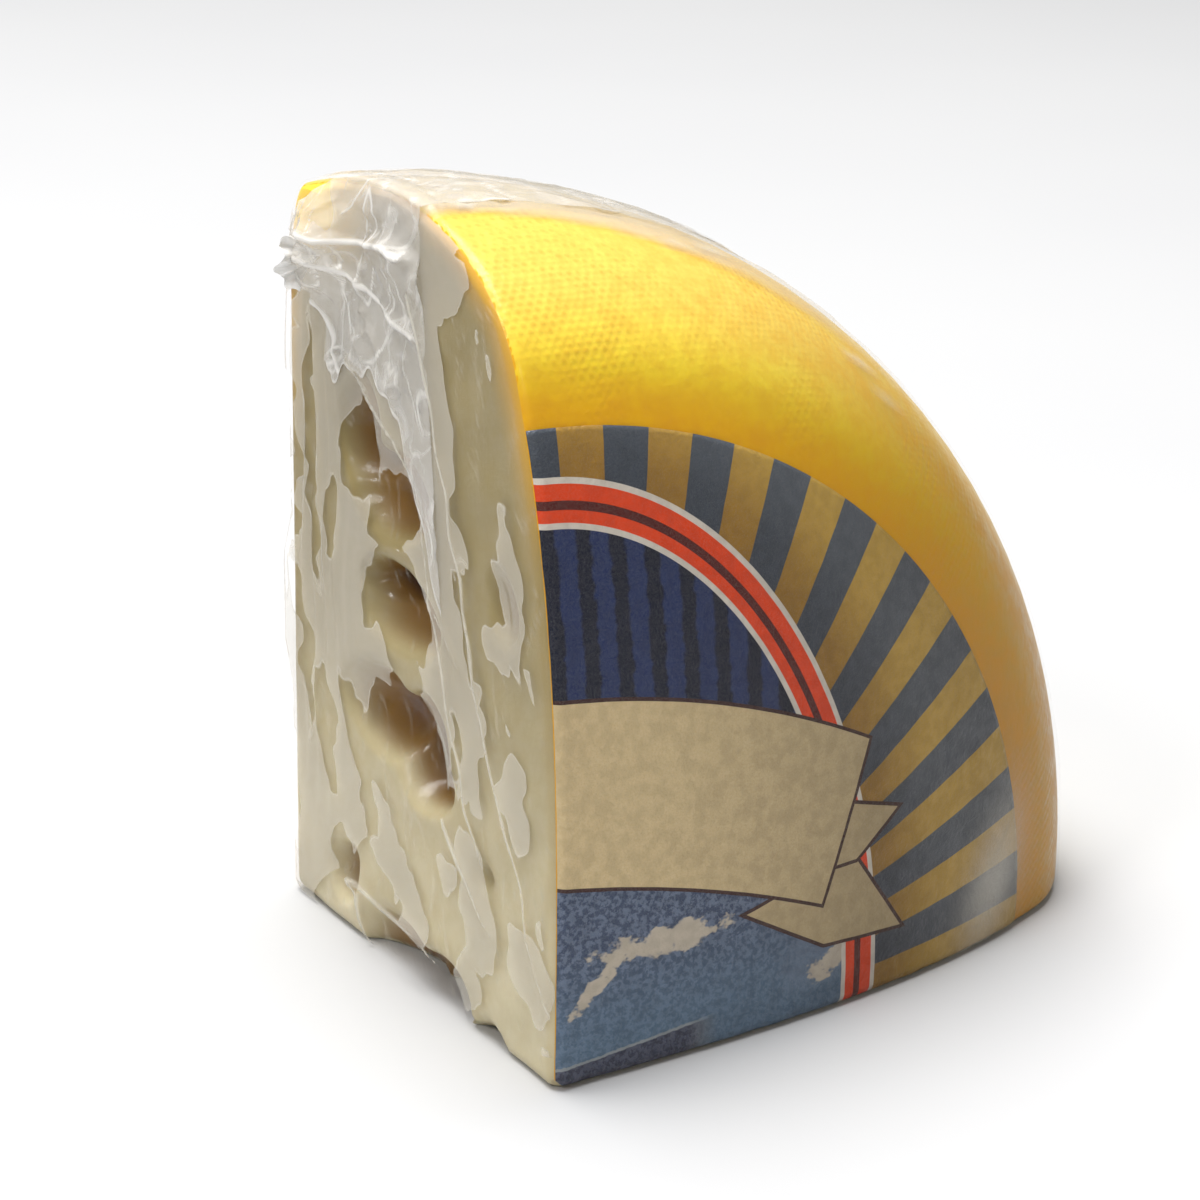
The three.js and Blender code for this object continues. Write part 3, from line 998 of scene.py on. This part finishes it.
# The label's print, in millimetres from the wheel's axis.
RAY_START = 3.1
RAY_WIDTH = 4.737
BAR_WIDTH = 8.5
OVAL_HALF_WIDTH = 89.5
OVAL_HALF_HEIGHT = 131.5
OVAL_BANDS = [
    (0.0, (214, 204, 190)),
    (1.3, (226, 66, 14)),
    (4.7, (84, 24, 20)),
    (6.6, (226, 66, 14)),
    (9.2, (214, 204, 190)),
]
OVAL_BORDER = 10.5
RIBBON_TOP = dict(height=84.4, slope=0.08, bend=0.0025)
RIBBON_BOTTOM = dict(height=43.3, slope=0.15, bend=0.0019)
RIBBON_END = [(86.1, 58.1), (72.1, 22.4)]
TAIL_UPPER = [(78, 45.6), (95.4, 40.4), (82.5, 30.9), (74, 31)]
TAIL_LOWER = [(74, 31), (82.5, 30.9), (97.2, 10.5), (73.1, 12.4), (50.4, 25.5)]
OUTLINE = 0.9
# Clouds: x, z, half width, half height and slope of each.
CLOUDS = [
    (28.0, 25.0, 19.0, 4.6, 0.0),
    (11.0, 18.5, 8.0, 3.4, 0.75),
    (76.0, 8.0, 8.0, 4.4, 0.3),
]


def stepped(n, value, steps, full):
    """Plain bands of colour: steps gives where each band starts, out of full."""
    share = n.over(value, full)
    node = n.tree.nodes.new("ShaderNodeValToRGB")
    node.color_ramp.interpolation = "CONSTANT"
    n.set(node, "Fac", share)
    while len(node.color_ramp.elements) < len(steps):
        node.color_ramp.elements.new(0.99)
    for element, (start, tone) in zip(node.color_ramp.elements, steps):
        element.position = start / full
        element.color = linear(*tone)
    return node.outputs["Color"]


def label_material():
    """Printed foil paper: blue and gold rays, a banded oval, a bare ribbon and a cloudy sky, darker
    towards the right as painted shade.
    """
    made, n, shader = material("label print")
    where = n.place(stretch=(1000, 1000, 1000), move=tuple(-ORIGIN / MM))
    parts = n.axes(where)
    x, z = parts["X"], parts["Z"]
    grain, flecks = n.group(MOTTLE, Vector=where, Size=3.2, Sharpness=0.35)

    turn = n.math("DEGREES", n.math("ARCTAN2", x, z))
    phase = n.math("FRACT", n.over(n.minus(turn, RAY_START), 2 * RAY_WIDTH))
    is_blue = n.above(phase, 0.5)

    reach = n.math("SQRT", n.ellipse(x, OVAL_HALF_WIDTH, z, OVAL_HALF_HEIGHT))
    steep = n.math("SQRT", n.ellipse(x, OVAL_HALF_WIDTH ** 2, z, OVAL_HALF_HEIGHT ** 2))
    inward = n.over(n.times(n.minus(1.0, reach), reach), steep)

    near_oval = n.ramp(inward, -26.0, -1.0)
    gold = n.mix(near_oval, linear(210, 170, 78), linear(152, 112, 42))
    slate = n.mix(near_oval, linear(96, 102, 110), linear(62, 68, 78))
    color = n.mix(is_blue, gold, slate)

    bars = n.math("SINE", n.times(x, 2 * math.pi / BAR_WIDTH))
    dark_bar = n.ramp(n.times_plus(grain, 0.5, bars), 0.1, 0.7)
    navy = n.mix(dark_bar, linear(32, 46, 88), linear(15, 20, 42))
    wisps = n.noise(n.place((0.16, 0.0, 0.22), source=where), 1.0, 3.0, 0.65)
    clouds = None
    for cloud_x, cloud_z, half_x, half_z, lean in CLOUDS:
        off_x = n.minus(x, cloud_x)
        off_z = n.minus(n.minus(z, cloud_z), n.times(off_x, lean))
        far = n.ellipse(off_x, half_x, off_z, half_z)
        puff = n.ramp(n.times_plus(wisps, 4.0, n.minus(-1.1, far)), 0.1, 0.5)
        clouds = puff if clouds is None else n.most(clouds, puff)
    patches = n.noise(n.place((0.6, 0.0, 0.6), source=where), 1.0, 3.0, 0.7)
    sky = n.mix(n.ramp(patches, 0.46, 0.54), linear(62, 74, 98), linear(100, 112, 134))
    sky = n.mix(n.ramp(z, 30.0, 2.0, 0.0, 0.55), sky, linear(96, 124, 146))
    rightward = n.over(n.minus(x, 62.0), 14.0)
    glow = n.ramp(n.times_plus(wisps, 2.0, rightward), 0.7, 1.3)
    pale = n.times(glow, n.times(n.ramp(z, 22.0, 14.0), n.ramp(z, 1.0, 6.0)))
    sky = n.mix(n.times(pale, 0.6), sky, linear(108, 122, 142))
    sky = n.mix(clouds, sky, linear(190, 178, 160))
    shore = n.times_plus(x, 0.085, n.times_plus(patches, 1.0, -1.2))
    near_shore = n.ramp(x, 44.0, 34.0)
    crest = n.times(n.below(z, n.plus(shore, 0.7)), near_shore)
    sky = n.mix(crest, sky, linear(140, 146, 148))
    land = n.times(n.below(z, shore), near_shore)
    ground = n.mix(n.ramp(patches, 0.46, 0.54), linear(56, 58, 76), linear(80, 84, 102))
    sky = n.mix(land, sky, ground)

    ribbon_top = curved_edge(n, x, **RIBBON_TOP)
    ribbon_bottom = curved_edge(n, x, **RIBBON_BOTTOM)
    below_ribbon = n.below(z, n.plus(ribbon_bottom, 10.0))
    picture = n.mix(below_ribbon, navy, sky)
    bands = stepped(n, inward, OVAL_BANDS, OVAL_BORDER)
    oval = n.mix(n.above(inward, OVAL_BORDER), bands, picture)
    color = n.mix(n.above(inward, 0.0), color, oval)

    # Painted shade: the ribbon's cream darker towards the right.
    cream = n.mix(n.ramp(x, 0.0, 85.0), linear(206, 182, 136), linear(186, 164, 122))
    cream = n.mix(n.times(flecks, 0.2), cream, linear(226, 206, 164))
    ink = linear(62, 34, 30)
    for corners in (TAIL_LOWER, TAIL_UPPER):
        tail = polygon_field(n, x, z, corners)
        color = n.mix(n.above(tail, -OUTLINE), color, ink)
        color = n.mix(n.above(tail, 0.0), color, n.mix(0.25, cream, linear(150, 132, 100)))
    (ax, az), (bx, bz) = RIBBON_END
    run = math.hypot(bx - ax, bz - az)
    end = n.plus(n.times(n.minus(x, ax), (bz - az) / run),
                 n.times(n.minus(z, az), (ax - bx) / run))
    height = n.least(n.minus(ribbon_top, z), n.minus(z, ribbon_bottom))
    ribbon = n.least(height, end)
    color = n.mix(n.above(ribbon, -OUTLINE), color, ink)
    color = n.mix(n.above(ribbon, 0.0), color, cream)

    color = n.mix(n.times(flecks, 0.05), color, linear(214, 214, 206))
    color = n.mix(n.times(grain, 0.12), color, linear(30, 30, 34))
    # Painted shade: the whole label darker towards the right.
    color = n.mix(n.ramp(x, 20.0, 130.0, 0.0, 0.42), color, linear(40, 26, 10))
    n.set(shader, "Base Color", color)
    n.set(shader, "Roughness", n.ramp(grain, 0.0, 1.0, 0.32, 0.5))
    n.set(shader, "Metallic", n.ramp(flecks, 0.0, 1.0, 0.05, 0.35))
    n.set(shader, "Normal", n.bump(n.noise(where, 0.9, 3.0, 0.6), 0.55, 0.0006))
    n.set(shader, "Specular IOR Level", 0.15)
    n.set(shader, "Coat Weight", 0.06)
    n.set(shader, "Coat Roughness", 0.12)
    return made


def wrinkle_group():
    """Fine creases of thin film, long one way, as a height."""
    inputs = [("Vector", (0.0, 0.0, 0.0)), ("Size", 0.01)]
    tree, entry, leave = node_group("film wrinkles", inputs, ["Height", "Lines"])
    n = Nodes(tree)
    scale = n.over(1.0, entry["Size"])
    soft = n.noise(entry["Vector"], scale, 2.0, 0.5, 0.6)
    folded = n.math("ABSOLUTE", n.minus(soft, 0.5))
    lines = n.ramp(folded, 0.035, 0.0)
    height = n.minus(soft, n.times(folded, 1.6))
    tree.links.new(height, leave["Height"])
    tree.links.new(lines, leave["Lines"])
    return tree


WRINKLES = wrinkle_group()
FILM_TINT = linear(228, 222, 208)


def film_shader(name, coverage, tint, roughness, lines_share=0.0, size=0.0, bump=0.0):
    """Thin clear film: coverage is a function that adds the nodes for how milky it is."""
    made, n, shader = material(name)
    lines = 0.0
    n.set(shader, "Base Color", tint)
    n.set(shader, "Roughness", roughness)
    if size:
        height, lines = n.group(WRINKLES, Vector=n.place(), Size=size)
        lines = n.times(lines, lines_share)
        n.set(shader, "Base Color", n.mix(n.times(height, 0.4), tint, linear(214, 208, 196)))
        n.set(shader, "Roughness", n.ramp(height, 0.2, 0.8, roughness, roughness + 0.14))
        n.set(shader, "Normal", n.bump(height, bump, 0.0012))
    milky = coverage(n, lines)
    facing = n.add("ShaderNodeLayerWeight", {"Blend": 0.25}, output="Facing")
    alpha = n.most(milky, n.times(n.math("POWER", facing, 4.0), 0.08))
    n.set(shader, "Alpha", n.least(alpha, 0.96))
    n.set(shader, "IOR", 1.5)
    return made


def film_material():
    """The stretched film: clear where it clings, milky over air, white along its folds."""
    def coverage(n, lines):
        off_rim = n.math("ABSOLUTE", n.minus(n.value("milk"), 0.03))
        rim = n.ramp(off_rim, 0.04, 0.01, 0.0, 0.12)
        milk = n.plus(n.ramp(n.value("milk"), -0.03, 0.05, 0.0, 0.22), rim)
        fold = n.ramp(n.value("fold_gap"), 1.2, 0.1, 0.0, 0.5)
        # Crease lines: partly the milkiness of folded film, partly painted glints.
        creases = n.times(n.value("creases"), 0.4)
        loose = n.times_plus(n.value("loose"), 0.32, creases)
        glare = n.times(n.value("glare"), 0.3)
        most = n.most(n.most(milk, fold), n.most(loose, glare))
        return n.plus(most, 0.008)
    return film_shader("cling film", coverage, FILM_TINT, 0.18)


def hood_material():
    """The scrunched film over the upper edge: whiter along its torn border, and along its ridges and
    creases partly from folded film and partly as painted glints.
    """
    def coverage(n, lines):
        # Ridges, folds and creases: partly the milkiness of folded film, partly painted glints.
        ridges = n.ramp(n.value("ridges"), 0.85, 1.0, 0.0, 0.18)
        border = n.ramp(n.value("edge_gap"), 0.025, 0.0, 0.0, 0.4)
        fold = n.ramp(n.value("fold_gap"), 1.0, 0.05, 0.0, 0.6)
        crease = n.times(n.value("creases"), 0.5)
        milky = n.plus(n.plus(ridges, border), n.most(fold, crease))
        return n.times(n.plus(n.plus(milky, lines), 0.2), n.value("rim_fade"))
    return film_shader("scrunched film", coverage, linear(244, 241, 236), 0.1, 0.14, 0.024, 0.4)


def gather_material():
    """The bunched end, many layers deep and nearly white."""
    def coverage(n, lines):
        ridges = n.ramp(n.value("ridges"), 0.3, 1.0, 0.0, 0.3)
        return n.plus(n.plus(ridges, lines), 0.55)
    return film_shader("gathered film", coverage, linear(250, 250, 249), 0.2, 0.1, 0.012, 0.3)


# ------------------------------
# Studio
# ------------------------------
# The camera's place in wheel millimetres, its turns in radians, and its lens.
CAMERA_PLACE = (-325.16, -602.07, 332.1)
CAMERA_YAW = 0.565
CAMERA_PITCH = 0.345
CAMERA_ROLL = 0.021
CAMERA_LENS = 96.0
SENSOR_WIDTH = 36
FLOOR_REACH = 9


def make_camera():
    """A long-lens camera to the left of the label, a little above the wedge."""
    yaw, pitch = CAMERA_YAW, CAMERA_PITCH
    level = math.cos(pitch)
    forward = Vector((math.sin(yaw) * level, math.cos(yaw) * level, -math.sin(pitch)))
    right = Vector((math.cos(yaw), -math.sin(yaw), 0))
    up = right.cross(forward)
    turned_right = math.cos(CAMERA_ROLL) * right + math.sin(CAMERA_ROLL) * up
    turned_up = math.cos(CAMERA_ROLL) * up - math.sin(CAMERA_ROLL) * right
    data = bpy.data.cameras.new("camera")
    data.lens = CAMERA_LENS
    data.sensor_width = SENSOR_WIDTH
    camera = bpy.data.objects.new("camera", data)
    camera.matrix_world = Matrix((turned_right, turned_up, -forward)).transposed().to_4x4()
    camera.location = Vector(in_frame(CAMERA_PLACE))
    bpy.context.scene.collection.objects.link(camera)
    bpy.context.scene.camera = camera


def area_light(name, place, aim, size, power):
    """A square soft light at a place, turned to its aim, both in metres."""
    data = bpy.data.lights.new(name, "AREA")
    data.size = size
    data.energy = power
    light = bpy.data.objects.new(name, data)
    light.location = place
    light.rotation_euler = (Vector(aim) - Vector(place)).to_track_quat("-Z", "Y").to_euler()
    bpy.context.scene.collection.objects.link(light)


def make_studio():
    """Pale floor, a large light overhead and softer ones in front and to the left."""
    floor_mesh = bpy.data.meshes.new("floor")
    far = FLOOR_REACH
    corners = [(-far, -far, 0), (far, -far, 0), (far, far, 0), (-far, far, 0)]
    floor_mesh.from_pydata(corners, [], [(0, 1, 2, 3)])
    floor = bpy.data.objects.new("floor", floor_mesh)
    bpy.context.scene.collection.objects.link(floor)
    made, n, shader = material("studio floor")
    tone = n.noise(n.place(), 3.0)
    n.set(shader, "Base Color", n.mix(tone, linear(196, 196, 196), linear(190, 190, 191)))
    n.set(shader, "Roughness", n.ramp(tone, 0.0, 1.0, 0.85, 0.95))
    floor_mesh.materials.append(made)
    world = bpy.data.worlds.new("studio")
    world.use_nodes = True
    world.node_tree.nodes["Background"].inputs["Color"].default_value = (1, 1, 1, 1)
    world.node_tree.nodes["Background"].inputs["Strength"].default_value = 0.25
    bpy.context.scene.world = world
    area_light("overhead", (-0.3, 0.5, 3.0), (0, 0, 0.1), 2.0, 165)
    area_light("front", (-0.6, -1.6, 1.0), (0, 0, 0.08), 0.3, 1.6)
    area_light("left", (-1.3, -0.35, 1.3), (0, 0, 0.1), 0.4, 8)
    bpy.context.scene.view_settings.view_transform = "Standard"


# ------------------------------
# The pieces
# ------------------------------
PIECES = [
    (make_cheese, "cheese", "cheese"),
    (make_label, "label", "label"),
    (make_film, "film", "film"),
    (make_hood, "film", "film"),
    (make_gather, "film", "film"),
]

for make, node, finish_slot in PIECES:
    piece = make()
    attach(piece, "root")
    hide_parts(node)

make_camera()
make_studio()
